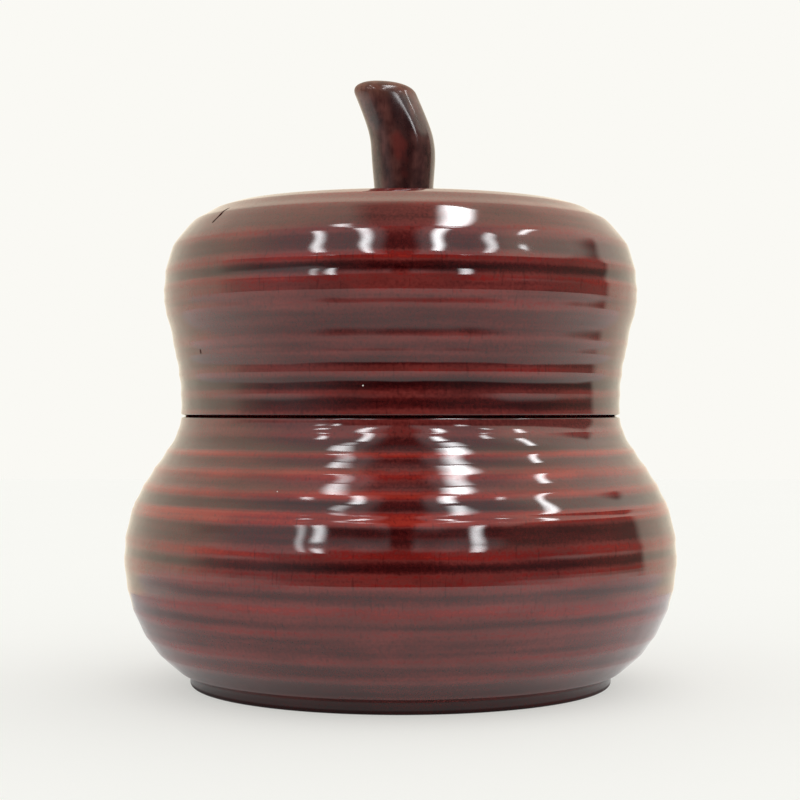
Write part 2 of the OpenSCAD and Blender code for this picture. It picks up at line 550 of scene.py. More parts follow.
def new_material(name: str) -> tuple[Material, Nodes, Node]:
    """Start a material with a Principled shader.

    Args:
        name: Name of the material.

    Returns:
        The material, its nodes and the shader.
    """
    material = bpy.data.materials.new(name)
    material.use_nodes = True
    nodes = Nodes(material.node_tree)
    shader = nodes.add("ShaderNodeBsdfPrincipled")
    nodes.add("ShaderNodeOutputMaterial", values={"Surface": shader.outputs["BSDF"]})
    return material, nodes, shader


@dataclass(frozen=True)
class Gloss:
    """How a lacquer reflects."""

    roughness: float = 0.3
    specular: float = 0.0
    coat: float = 1.0
    coat_roughness: float = 0.06
    coat_ior: float = 1.66
    bump: float = 0.3
    wave: float = 3.2
    wave_scale: Point3 = (330, 330, 420)

    def apply(self, nodes: Nodes, shader: Node, pattern: Socket, amount: float) -> None:
        """Set the plain numbers on the shader and vary its roughness by a pattern.

        Args:
            nodes: The material's nodes.
            shader: Its Principled shader.
            pattern: The pattern, from 0 to 1.
            amount: How far the roughness varies in all.
        """
        shader.inputs["Specular IOR Level"].default_value = self.specular
        shader.inputs["Coat Weight"].default_value = self.coat
        shader.inputs["Coat Roughness"].default_value = self.coat_roughness
        shader.inputs["Coat IOR"].default_value = self.coat_ior
        rough = nodes.math("MULTIPLY_ADD", pattern, amount, self.roughness - amount / 2)
        nodes.link(rough, shader.inputs["Roughness"])

    def roughen(self, nodes: Nodes, shader: Node, grain: Socket, depth: float) -> None:
        """Bump the wood with its grain, and the coat over it with a slow wave.

        Args:
            nodes: The material's nodes.
            shader: Its Principled shader.
            grain: Height of the grain, from 0 to about 1.
            depth: Height of 1, in millimetres.
        """
        slow = nodes.times(nodes.noise(self.wave_scale, 0.0), self.wave)
        for layer, height in (("Normal", nodes.math("ADD", slow, grain)), ("Coat Normal", slow)):
            values = {"Strength": self.bump, "Distance": depth * MM, "Height": height}
            bump = nodes.add("ShaderNodeBump", values=values)
            nodes.link(bump.outputs["Normal"], shader.inputs[layer])


@dataclass(frozen=True)
class TurnedLacquer:
    """Translucent lacquer over turned wood, worn to red on the crests."""

    # Two nicks on the lid's shoulder and a small pit, each bumped, dulled and painted dark inside as painted
    # shade.
    nicks: tuple[tuple[Point3, Point3, float], ...] = (
        ((-19.2, -14.1, 54.6), (-0.77, -0.7, -0.71), 0.36),
        ((-19.97, -14.8, 53.89), (-0.76, -0.1, -0.79), 0.3),
        ((-22.21, -14.55, 38.6), (0.0, 0.0, 0.2), 0.24),
    )
    deep: Colour = (0.022, 0.0010, 0.0014)
    shades: tuple[tuple[float, Colour], ...] = (
        (0.3, (0.070, 0.0060, 0.0058)),
        # The brown stop is partly painted reflection, giving half-worn crests the paler green and blue a
        # blurred reflection lends, and partly the brown of the wood.
        (0.6, (0.155, 0.0230, 0.0200)),
        (0.76, (0.185, 0.0095, 0.0080)),
        (1.0, (0.290, 0.0220, 0.0130)),
    )
    dust: Colour = (0.8, 0.78, 0.74)
    gloss: Gloss = Gloss()
    roughness_range: float = 0.12
    streak_amount: float = 0.16
    mottle_amount: float = 0.5
    pore_dark: float = 0.6
    coat_range: float = 0.5
    coat_gain: float = 0.23
    relief: float = 0.1
    relief_depth: float = 0.03
    # How far the colour goes deep inside a nick: painted shade.
    nick_painted_shade: float = 0.85
    nick_dull: float = 0.8
    nick_depth: float = 2.0

    def build(self, effects: Effects) -> Material:
        """Make the material.

        Args:
            effects: The shared shader groups.

        Returns:
            The material.
        """
        material, nodes, shader = new_material("turned_lacquer")
        grain = nodes.group(effects.grain, {"Pore Amount": 0.6}).outputs
        dust = nodes.group(effects.dust, {"Size": 0.018, "Share": 0.12}).outputs["Dust"]
        worn = nodes.worn()
        streak = nodes.times(nodes.math("SUBTRACT", grain["Streak"], 0.5), self.streak_amount)
        mottle = nodes.times(nodes.math("SUBTRACT", grain["Mottle"], 0.5), self.mottle_amount)
        thin = nodes.times(worn, nodes.span(grain["Drift"], 0.0, 1.0, 0.9, 1.08))
        thin = nodes.math("ADD", thin, nodes.math("ADD", streak, mottle), clamp=True)
        colour = nodes.ramp(thin, ((0.0, self.deep), *self.shades))
        cloud = nodes.span(grain["Cloud"], 0.0, 1.0, 0.85, 1.12)
        colour = nodes.mix(1.0, colour, cloud, "MULTIPLY")
        colour = nodes.mix(nodes.times(grain["Pore"], self.pore_dark), colour, self.deep)
        colour = nodes.mix(dust, colour, self.dust)
        height = nodes.times(nodes.math("SUBTRACT", grain["Mottle"], grain["Pore"]), self.relief)
        full = self.gloss.coat + self.coat_gain
        coat = nodes.math("MULTIPLY_ADD", grain["Mottle"], -self.coat_range, full)
        coat = nodes.times(coat, nodes.span(worn, 0.0, 0.05, 0.3, 1.0))
        for start, reach, width in self.nicks:
            ends = {"Start": [v * MM for v in start], "Reach": [v * MM for v in reach]}
            depth = nodes.group(effects.nick, {"Width": width * MM, **ends}).outputs["Depth"]
            # Painted shade: the colour goes deep inside each nick.
            colour = nodes.mix(nodes.times(depth, self.nick_painted_shade), colour, self.deep)
            coat = nodes.math("SUBTRACT", coat, nodes.times(depth, self.nick_dull), clamp=True)
            height = nodes.math("SUBTRACT", height, nodes.times(depth, self.nick_depth))
        nodes.link(colour, shader.inputs["Base Color"])
        self.gloss.apply(nodes, shader, grain["Mottle"], self.roughness_range)
        self.gloss.roughen(nodes, shader, height, self.relief_depth)
        nodes.link(coat, shader.inputs["Coat Weight"])
        return material


@dataclass(frozen=True)
class StemLacquer:
    """Dark brown lacquer over carved wood, red where it lies thin, with painted shade in its creases, and
    lighter brown with a thinner coat at its top.
    """

    deep: Colour = (0.024, 0.0050, 0.0055)
    brown: Colour = (0.135, 0.0460, 0.0390)
    red: Colour = (0.150, 0.0180, 0.0140)
    # Lighter brown that the stem turns towards its top.
    top_brown: Colour = (0.220, 0.0950, 0.0650)
    dust: Colour = (0.8, 0.78, 0.74)
    gloss: Gloss = Gloss(roughness=0.36, coat_roughness=0.12, bump=0.22, wave=1.2)
    roughness_range: float = 0.12
    # Heights over which the stem turns lighter brown and its coat thins, in millimetres.
    lighter_top_from: float = 68.3
    lighter_top_to: float = 70.8
    blotch_share: float = 0.55
    fibre_share: float = 0.15
    patch_share: float = 0.3
    # How far the colour goes deep inside the creases: painted shade.
    crease_painted_shade: float = 0.75
    pore_dark: float = 0.5
    relief_depth: float = 0.05

    def build(self, effects: Effects) -> Material:
        """Make the material.

        Args:
            effects: The shared shader groups.

        Returns:
            The material.
        """
        material, nodes, shader = new_material("stem_lacquer")
        grain = nodes.group(effects.grain, {"Pore Amount": 0.7}).outputs
        dust = nodes.group(effects.dust, {"Size": 0.012, "Share": 0.06}).outputs["Dust"]
        crease = nodes.worn()
        fibre = nodes.noise((1500, 1500, 130), 3.0)
        patch = nodes.noise((260, 260, 170), 2.0)
        blotch = nodes.noise((900, 900, 600), 3.0)
        shares = (blotch, self.blotch_share), (fibre, self.fibre_share), (patch, self.patch_share)
        tone = reduce(partial(nodes.math, "ADD"), [nodes.times(*share) for share in shares])
        colour = nodes.mix(nodes.span(tone, 0.32, 0.68), self.deep, self.brown)
        # Painted shade: darker deep in the creases, where shade falls.
        colour = nodes.mix(nodes.times(nodes.span(crease, 0.55, 1.0), self.crease_painted_shade), colour, self.deep)
        ridge = nodes.times(nodes.span(crease, 0.1, 0.6), nodes.span(patch, 0.52, 0.64, 0.0, 0.6))
        colour = nodes.mix(nodes.times(ridge, nodes.span(tone, 0.35, 0.55)), colour, self.red)
        height = nodes.axes(nodes.where())[2]
        # Lighter brown towards the top, with a thinner coat there.
        toward_top = nodes.span(height, self.lighter_top_from * MM, self.lighter_top_to * MM)
        lighter_top = nodes.times(toward_top, nodes.span(tone, 0.35, 0.6, 0.2, 0.8))
        colour = nodes.mix(lighter_top, colour, self.top_brown)
        colour = nodes.mix(nodes.times(grain["Pore"], self.pore_dark), colour, self.deep)
        colour = nodes.mix(dust, colour, self.dust)
        nodes.link(colour, shader.inputs["Base Color"])
        self.gloss.apply(nodes, shader, grain["Mottle"], self.roughness_range)
        coat = nodes.span(toward_top, 0.0, 1.0, 1.0, 0.35)
        coat = nodes.times(coat, nodes.span(grain["Mottle"], 0.3, 0.7, 0.85, 1.0))
        nodes.link(coat, shader.inputs["Coat Weight"])
        self.gloss.roughen(nodes, shader, blotch, self.relief_depth)
        return material


@dataclass(frozen=True)
class BlackLacquer:
    """Black lacquer of the inside, the ring and the foot's recess."""

    black: Colour = (0.006, 0.005, 0.005)
    brown: Colour = (0.022, 0.014, 0.011)
    dust: Colour = (0.5, 0.49, 0.46)
    gloss: Gloss = Gloss(roughness=0.34, specular=0.3, coat=0.7, coat_roughness=0.12, bump=0.08, wave=1.0)
    roughness_range: float = 0.1
    relief_depth: float = 0.03

    def build(self, effects: Effects) -> Material:
        """Make the material.

        Args:
            effects: The shared shader groups.

        Returns:
            The material.
        """
        material, nodes, shader = new_material("black_lacquer")
        grain = nodes.group(effects.grain, {"Pore Amount": 0.3}).outputs
        dust = nodes.group(effects.dust, {"Size": 0.012, "Share": 0.05}).outputs["Dust"]
        colour = nodes.mix(nodes.times(grain["Cloud"], grain["Streak"]), self.black, self.brown)
        colour = nodes.mix(dust, colour, self.dust)
        nodes.link(colour, shader.inputs["Base Color"])
        self.gloss.apply(nodes, shader, grain["Streak"], self.roughness_range)
        self.gloss.roughen(nodes, shader, grain["Streak"], self.relief_depth)
        return material


@dataclass(frozen=True)
class Lacquers:
    """The three finished materials."""

    turned: Material
    stem: Material
    black: Material


# Pieces


@dataclass
class Fit:
    """Sizes that the bowl, the ring and the lid share, in millimetres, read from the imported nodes.

    The angle lip_from, in degrees, is the first one round the edge of a lip.
    """

    seam: float
    ring_r: float
    seat: float
    ring_top: float
    ring_t: float = 1.6
    lip_t: float = 2.2
    lid_fit: float = 0.15
    glue_gap: float = 0.05
    seam_ease: float = 0.3
    lip_round: float = 0.16
    lip_from: float = 15.0
    groove: float = 0.55
    edge_ease: float = 0.4

    @property
    def mouth_r(self) -> float:
        """Outer radius of both lips at the seam."""
        return self.ring_r + self.lid_fit + self.lip_t

    @property
    def throat_r(self) -> float:
        """Inner radius of the ring."""
        return self.ring_r - self.ring_t

    @classmethod
    def from_frame(cls) -> "Fit":
        """Read the shared sizes from the frame."""
        low, high = (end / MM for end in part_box("fitting_ring"))
        return cls(seam=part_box("bowl")[1].z / MM, ring_r=high.x, seat=low.z, ring_top=high.z)


@dataclass
class Bowl:
    """The turned lower half with its foot.

    The handles bend the curves of its profile, as moves from the point that each of them belongs to.
    """

    fit: Fit
    belly: Point = (32.5, 15.3)
    foot_r: float = 24.8
    foot_h: float = 1.4
    foot_ledge: float = 0.4
    foot_w: float = 3.0
    foot_recess: float = 0.8
    wall: float = 3.6
    floor_t: float = 3.4
    foot_handle: Point = (3.2, 1.5)
    belly_below: Point = (0.0, -7.6)
    belly_above: Point = (0.0, 8.4)
    mouth_handle: Point = (0.7, -4.4)
    throat_handle: Point = (0.0, -2.0)
    inner_above: Point = (0.0, 6.0)
    inner_below: Point = (0.0, -6.5)
    floor_handle: Point = (9.0, 0.0)
    # Wear of almost nothing gives the foot the deepest colour and a thin coat: painted shade.
    foot_painted_shade: float = 0.01
    ledge_worn: float = 0.2
    rim_worn: float = 0.15
    seed: float = 3.0
    flutes: tuple[Flute, ...] = (
        Flute(0.9, 0.50, 0.40, 0.42),
        Flute(3.5, 0.60, 0.50, 0.30, 0.8),
        Flute(2.55, 0.64, 0.50, 0.34, 0.8),
        Flute(3.25, 0.62, 0.50, 0.40, 0.8),
        Flute(2.4, 0.70, 0.80, 0.26, 0.8),
        Flute(2.85, 0.66, 0.60, 0.26, 0.8),
        Flute(0.85, 0.66, 0.50, 0.56, 0.0),
        Flute(2.3, 0.78, 0.62, 0.08),
        Flute(3.4, 0.95, 0.36, 0.20),
        Flute(0.75, 0.95, 0.36, 0.70),
        Flute(2.35, 1.00, 0.45, 0.16),
        Flute(2.4, 0.92, 0.55, 0.42),
        Flute(2.45, 1.00, 0.34, 0.34),
        Flute(2.6, 0.58, 0.45, 0.22),
        Flute(1.45, 0.50, 0.40, 0.40, 0.3),
    )

    def outside(self) -> TurnedLine:
        """Draw the line through the crests.

        Returns:
            The line from the foot's ledge to the eased edge at the seam.
        """
        belly = self.belly
        start = (self.foot_r + self.foot_ledge, self.foot_h)
        end = (self.fit.mouth_r, self.fit.seam - self.fit.seam_ease)
        lower = cubic(start, self.foot_handle, self.belly_below, belly)
        upper = cubic(belly, self.belly_above, self.mouth_handle, end)
        return TurnedLine(lower + upper + [end])

    def hollow(self) -> list[Point]:
        """Draw the inside.

        Returns:
            The points from the rim, down the ring's seat and the hollow to the middle of the floor.
        """
        fit = self.fit
        seat_r = fit.ring_r + fit.glue_gap
        throat = (fit.throat_r, fit.seat)
        side = (self.belly[0] - self.wall, self.belly[1])
        floor = (side[0] / 2, self.foot_recess + self.floor_t)
        upper = cubic(throat, self.throat_handle, self.inner_above, side, 20)
        lower = cubic(side, self.inner_below, self.floor_handle, floor, 20)
        return [(seat_r, fit.seam), (seat_r, fit.seat), *upper, *lower, floor, (0.0, floor[1])]

    def build(self, lacquers: Lacquers) -> bpy.types.Object:
        """Spin the bowl and place it in the frame.

        Args:
            lacquers: The finished materials.

        Returns:
            The bowl.
        """
        fit = self.fit
        ease, turn = fit.edge_ease, fit.lip_round
        lathe = Lathe("bowl_turned")
        foot = corner((self.foot_r - ease, ease), ease, -90, 0)
        points, worn = Fluting().cut(self.outside(), self.flutes)
        rim = corner((fit.mouth_r - turn, fit.seam - fit.seam_ease), turn, fit.lip_from, 90)
        rim += [(fit.mouth_r - fit.groove, fit.seam), (fit.ring_r + fit.glue_gap, fit.seam)]
        line = [*foot, (self.foot_r, self.foot_h), *points, *rim]
        # The foot's low wear paints it deepest: painted shade.
        wear = [self.foot_painted_shade] * len(foot) + [self.ledge_worn] + worn + [self.rim_worn] * len(rim)
        lathe.spin(line, Side.OUTSIDE, wear)
        inner = self.foot_r - self.foot_w
        under = [
            (0.0, self.foot_recess),
            (inner - self.foot_recess, self.foot_recess),
            (inner, 0.0),
            (self.foot_r - ease, 0.0),
        ]
        lathe.spin(under, Side.INSIDE)
        lathe.spin(self.hollow(), Side.INSIDE)
        obj = lathe.finish((lacquers.turned, lacquers.black))
        HandWork().draw_in(obj, self.foot_h, fit.seam - fit.seam_ease, self.seed)
        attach(obj, "bowl")
        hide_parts("bowl")
        return obj


@dataclass
class FittingRing:
    """The thin ring in the bowl's mouth that the lid sits over."""

    fit: Fit

    def build(self, lacquers: Lacquers) -> bpy.types.Object:
        """Spin the ring, round its top edges and place it.

        Args:
            lacquers: The finished materials.

        Returns:
            The ring.
        """
        fit = self.fit
        lathe = Lathe("fitting_ring_turned", steps=10)
        section = [
            (fit.throat_r, fit.seat),
            (fit.ring_r, fit.seat),
            (fit.ring_r, fit.ring_top),
            (fit.throat_r, fit.ring_top),
            (fit.throat_r, fit.seat),
        ]
        lathe.spin(section, Side.OUTSIDE)
        lathe.weld()
        bm = lathe.bm
        top = fit.ring_top * MM
        level = [
            e for e in bm.edges
            if all(abs(v.co.z - top) < WELD for v in e.verts)
            and abs(e.verts[0].co.xy.length - e.verts[1].co.xy.length) < WELD
        ]
        bmesh.ops.bevel(
            bm, geom=level, offset=fit.edge_ease * MM, affect="EDGES", segments=5, profile=0.5, material=-1
        )
        obj = as_object(lathe.name, bm, (lacquers.black,))
        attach(obj, "bowl")
        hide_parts("fitting_ring")
        return obj


@dataclass
class Lid:
    """The turned upper half, hollow, with a mortise for the stem.

    The handles bend the curves of its profile, as moves from the point that each of them belongs to.
    """

    fit: Fit
    crown_top: float
    swell_r: float = 27.95
    swell_h: float = 14.3
    crown_r: float = 20.5
    crown_h: float = 24.75
    crown_t: float = 5.6
    wall: float = 3.6
    headroom: float = 0.4
    pad_r: float = 4.25
    mortise_r: float = 2.05
    mortise_depth: float = 4.05
    rim_handle: Point = (0.0, 7.2)
    swell_below: Point = (0.0, -3.1)
    swell_above: Point = (0.0, 7.0)
    edge_below: Point = (4.0, -1.4)
    edge_above: Point = (-6.0, 0.5)
    pad_handle: Point = (5.0, 0.0)
    ceiling_handle: Point = (10.0, 0.0)
    inner_above: Point = (0.0, 3.5)
    inner_below: Point = (0.0, -3.0)
    socket_handle: Point = (0.0, 3.0)
    edge_worn: float = 0.3
    seed: float = 11.0
    flutes: tuple[Flute, ...] = (
        Flute(2.2, 0.58, 0.40, 0.14, 0.4),
        Flute(2.3, 0.62, 0.50, 0.06),
        Flute(2.1, 0.42, 0.40, 0.28),
        Flute(1.5, 0.56, 0.40, 0.34, 0.4),
        Flute(3.6, 0.56, 0.50, 0.32, 1.3),
        Flute(1.55, 0.60, 0.50, 0.38, 0.5),
        Flute(1.35, 0.70, 0.45, 0.44),
        Flute(2.2, 0.72, 0.50, 0.08),
        Flute(3.15, 0.62, 0.55, 0.24),
        Flute(3.8, 0.65, 0.60, 0.44, 1.4),
        Flute(2.7, 0.68, 0.60, 0.58),
        Flute(3.6, 0.70, 0.60, 0.62),
        Flute(3.4, 0.70, 0.60, 0.62),
        Flute(3.2, 0.70, 0.60, 0.60),
        Flute(3.0, 0.70, 0.60, 0.55),
        Flute(2.8, 0.64, 0.60, 0.50),
        Flute(2.0, 0.54, 0.50, 0.44),
    )

    def outside(self) -> TurnedLine:
        """Draw the line through the crests.

        Returns:
            The line from the eased edge at the seam to the flat round the stem.
        """
        fit = self.fit
        rim = (fit.mouth_r, fit.seam + fit.seam_ease)
        swell = (self.swell_r, fit.seam + self.swell_h)
        edge = (self.crown_r, fit.seam + self.crown_h)
        pad = (self.pad_r, self.crown_top)
        lower = cubic(rim, self.rim_handle, self.swell_below, swell)
        shoulder = cubic(swell, self.swell_above, self.edge_below, edge)
        crown = cubic(edge, self.edge_above, self.pad_handle, pad)
        return TurnedLine(lower + shoulder + crown + [pad])

    def hollow(self) -> list[Point]:
        """Draw the inside.

        Returns:
            The points from the middle of the ceiling down to the socket and the seam.
        """
        fit = self.fit
        side = (self.swell_r - self.wall, fit.seam + self.swell_h)
        ceiling = (side[0] / 3, self.crown_top - self.crown_t)
        socket = (fit.ring_r + fit.lid_fit, fit.ring_top + self.headroom)
        upper = cubic(ceiling, self.ceiling_handle, self.inner_above, side, 24)
        lower = cubic(side, self.inner_below, self.socket_handle, socket, 16)
        return [(0.0, ceiling[1]), *upper, *lower, socket, (socket[0], fit.seam)]

    def build(self, lacquers: Lacquers) -> bpy.types.Object:
        """Spin the lid and place it in the frame.

        Args:
            lacquers: The finished materials.

        Returns:
            The lid.
        """
        fit = self.fit
        ease, turn = fit.seam_ease, fit.lip_round
        lathe = Lathe("lid_turned")
        points, worn = Fluting().cut(self.outside(), self.flutes)
        lip = [(fit.ring_r + fit.lid_fit, fit.seam), (fit.mouth_r - fit.groove, fit.seam)]
        lip += corner((fit.mouth_r - turn, fit.seam + ease), turn, -90, -fit.lip_from)
        line = [*lip, *points, (self.mortise_r, self.crown_top)]
        wear = [self.edge_worn] * len(lip) + worn + [self.edge_worn]
        lathe.spin(line, Side.OUTSIDE, wear)
        floor = self.crown_top - self.mortise_depth
        lathe.spin([(self.mortise_r, self.crown_top), (self.mortise_r, floor), (0.0, floor)], Side.INSIDE)
        lathe.spin(self.hollow(), Side.INSIDE)
        obj = lathe.finish((lacquers.turned, lacquers.black))
        work = HandWork()
        work.draw_in(obj, fit.seam + ease, self.crown_top + work.fade, self.seed)
        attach(obj, "lid")
        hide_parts("lid")
        return obj


@dataclass
class Stem:
    """The carved stem that leans over, with creases along it and a tenon below."""

    foot_z: float
    top_z: float
    tenon_bottom: float
    thick_r: float = 3.9
    root_r: float = 3.45
    tenon_r: float = 2.0
    lean: float = 3.0
    off: float = 0.4
    crease: float = 0.55
    sides: int = 96
    rings: int = 60
    bend_from: float = 0.53
    bend_width: float = 0.13
    end_from: float = 0.87
    end_power: float = 2.8
    swell_to: float = 0.45
    creases: int = 3
    crease_width: float = 26.0
    crease_flare: float = 0.9
    crease_root: float = -88.0
    crease_turn: float = 14.0

    def radius(self, u: float) -> float:
        """Thickness of the stem, without its creases.

        Args:
            u: Share of the height.

        Returns:
            Radius of the section there, in millimetres.
        """
        body = self.root_r + (self.thick_r - self.root_r) * eased(u, 0.0, self.swell_to)
        over = max(0.0, (u - self.end_from) / (1 - self.end_from))
        return body * math.sqrt(max(0.0, 1 - over**self.end_power))

    def bend(self, u: float) -> float:
        """Sideways run of the bent middle line at a share u of the height."""
        return u - self.bend_from + math.hypot(u - self.bend_from, self.bend_width)

    def section(self, angle: float, u: float) -> tuple[Vector, float]:
        """One point of the stem's surface.

        Args:
            angle: Direction round the stem, in degrees.
            u: Share of the height.

        Returns:
            The point in millimetres, and how deep it lies in a crease.
        """
        turn = (angle - self.crease_root - self.crease_turn * u) * self.creases / 360
        width = self.crease_width * (1 + self.crease_flare * (u - self.swell_to))
        off = (turn - round(turn)) * 360 / self.creases / width
        inside = math.exp(-off * off)
        share = self.crease / self.thick_r * eased(u, 0.0, self.swell_to)
        r = self.radius(u) * (1 - share * inside)
        x = self.off - self.lean * (self.bend(u) - self.bend(0)) / (self.bend(1) - self.bend(0))
        a = math.radians(angle)
        z = self.foot_z + (self.top_z - self.foot_z) * u
        return Vector((x + r * math.cos(a), r * math.sin(a), z)), inside

    def build(self, lacquers: Lacquers) -> bpy.types.Object:
        """Extrude a ring up the stem, carve it, add the tenon and place it.

        Args:
            lacquers: The finished materials.

        Returns:
            The stem.
        """
        bm = bmesh.new()
        worn = bm.verts.layers.float.new(WORN)
        bmesh.ops.create_circle(bm, segments=self.sides, radius=1.0, cap_ends=True)
        base = bm.faces[:]
        edges = bm.edges[:]
        for j in range(self.rings):
            share = 1 - (1 - (j + 1) / self.rings) ** 2
            made = bmesh.ops.extrude_edge_only(bm, edges=edges)["geom"]
            for vert in (g for g in made if isinstance(g, bmesh.types.BMVert)):
                vert.co.z = share
            edges = [g for g in made if isinstance(g, bmesh.types.BMEdge)]
        for vert in bm.verts:
            angle = math.degrees(math.atan2(vert.co.y, vert.co.x))
            place, inside = self.section(angle, vert.co.z)
            vert.co = place * MM
            vert[worn] = inside
        bmesh.ops.remove_doubles(bm, verts=bm.verts, dist=WELD)
        bmesh.ops.inset_region(bm, faces=base, thickness=(self.root_r - self.tenon_r) * MM)
        root = list({v for face in base for v in face.verts})
        bmesh.ops.translate(bm, verts=root, vec=(-self.off * MM, 0, 0))
        drop = bmesh.ops.extrude_face_region(bm, geom=base)["geom"]
        bmesh.ops.delete(bm, geom=base, context="FACES_ONLY")
        sunk = [g for g in drop if isinstance(g, bmesh.types.BMVert)]
        bmesh.ops.translate(bm, verts=sunk, vec=(0, 0, (self.tenon_bottom - self.foot_z) * MM))
        bmesh.ops.recalc_face_normals(bm, faces=bm.faces)
        obj = as_object("stem_carved", bm, (lacquers.stem,))
        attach(obj, "lid")
        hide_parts("stem")
        return obj


# Stage


@dataclass(frozen=True)
class CeilingTube:
    """A long tube lamp under the ceiling that only the gloss shows.

    Its ends are given sideways and towards the camera, as shares of the ceiling's height above the box.
    """

    name: str
    start: Point
    end: Point
    width: float
    radiance: float
    height: float = 3.0
    side_fade: float = 0.5
    end_fade: float = 0.04
    colour: Colour = (0.96, 0.98, 1.0)

    def glow(self, data: bpy.types.AreaLight) -> None:
        """Let the lamp's light fall off towards its edges.

        Args:
            data: The lamp.
        """
        data.use_nodes = True
        nodes = Nodes(data.node_tree)
        places = nodes.axes(nodes.add("ShaderNodeNewGeometry").outputs["Parametric"])
        fades = []
        for place, fade in zip(places, (self.side_fade, self.end_fade)):
            rim = nodes.math("MINIMUM", place, nodes.math("SUBTRACT", 1.0, place))
            fades.append(nodes.span(rim, 0.0, fade))
        shader = nodes.emission(self.colour, nodes.times(*fades))
        nodes.add("ShaderNodeOutputLight", values={"Surface": shader})

    def build(self) -> None:
        """Hang the lamp, facing down."""
        a = Vector((self.start[0], -self.start[1])) * self.height
        b = Vector((self.end[0], -self.end[1])) * self.height
        data = bpy.data.lights.new(self.name, "AREA")
        data.shape = "RECTANGLE"
        data.size = self.width * self.height
        data.size_y = (b - a).length
        data.energy = self.radiance * math.pi * data.size * data.size_y
        self.glow(data)
        obj = bpy.data.objects.new(self.name, data)
        obj.location = (*((a + b) / 2), self.height)
        obj.rotation_euler = (0, 0, math.atan2(b.y - a.y, b.x - a.x) - math.pi / 2)
        obj.visible_camera = False
        obj.visible_diffuse = False
        bpy.context.scene.collection.objects.link(obj)


@dataclass(frozen=True)
class Sheet:
    """The pale sheet that the box stands on, in metres.

    The gloss sees it near the box only, as a glow with painted light to the right and a painted shadow round
    the foot, and the camera sees through it from below.
    """

    half_width: float = 2.0
    front: float = -1.6
    back: float = 0.62
    drop: float = 0.00002
    seen_to: float = 0.067
    gone_from: float = 0.095
    # The painted shadow round the foot fades out of the glow between these distances.
    shade_from: float = 0.0245
    shade_to: float = 0.029
    paper: tuple[Colour, Colour] = ((0.935, 0.945, 0.925), (0.95, 0.96, 0.94))
    roughness: float = 0.8
    specular: float = 0.1
    haze: Colour = (0.975, 0.98, 0.94)
    haze_share: float = 0.5
    # Glow that the gloss sees on the sheet, with painted light and a painted shadow.
    painted_glow: Colour = (0.97, 0.97, 0.95)
    painted_glow_share: float = 0.7

    def material(self) -> Material:
        """Make the sheet's material.

        Returns:
            The material.
        """
        material, nodes, shader = new_material("pale_sheet")
        tone = nodes.span(nodes.noise((40, 40, 40), 3.0), 0.0, 1.0)
        nodes.link(nodes.mix(tone, *self.paper), shader.inputs["Base Color"])
        shader.inputs["Roughness"].default_value = self.roughness
        shader.inputs["Specular IOR Level"].default_value = self.specular
        ray = nodes.add("ShaderNodeLightPath").outputs
        spot = nodes.where()
        away = nodes.vector("LENGTH", spot).outputs["Value"]
        # Painted light: the glow that the gloss sees grows brighter to the right, and a painted shadow
        # darkens it round the foot.
        pale = nodes.span(nodes.axes(spot)[0], 0.0, 0.05, 0.8, 1.15)
        foot = nodes.span(away, self.shade_from, self.shade_to, 0.5, 1.0)
        painted_glow_shader = nodes.emission(self.painted_glow, nodes.times(pale, foot))
        glossy = nodes.times(ray["Is Glossy Ray"], self.painted_glow_share)
        sheet = nodes.blend(glossy, shader.outputs["BSDF"], painted_glow_shader)
        behind = nodes.add("ShaderNodeNewGeometry").outputs["Backfacing"]
        under = nodes.times(ray["Is Camera Ray"], behind)
        far = nodes.times(nodes.span(away, self.seen_to, self.gone_from), ray["Is Glossy Ray"])
        clear = nodes.add("ShaderNodeBsdfTransparent").outputs["BSDF"]
        sheet = nodes.blend(nodes.math("MAXIMUM", far, under), sheet, clear)
        above = nodes.math("SUBTRACT", ray["Is Camera Ray"], under)
        sheet = nodes.blend(nodes.times(above, self.haze_share), sheet, nodes.emission(self.haze))
        output = next(n for n in nodes.tree.nodes if n.type == "OUTPUT_MATERIAL")
        nodes.link(sheet, output.inputs["Surface"])
        return material

    def build(self) -> None:
        """Lay the sheet just under the foot."""
        bm = bmesh.new()
        bmesh.ops.create_grid(bm, x_segments=1, y_segments=1, size=1.0)
        bmesh.ops.scale(bm, verts=bm.verts, vec=(self.half_width, (self.back - self.front) / 2, 1.0))
        bmesh.ops.translate(bm, verts=bm.verts, vec=(0, (self.back + self.front) / 2, -self.drop))
        as_object("pale_sheet", bm, (self.material(),))


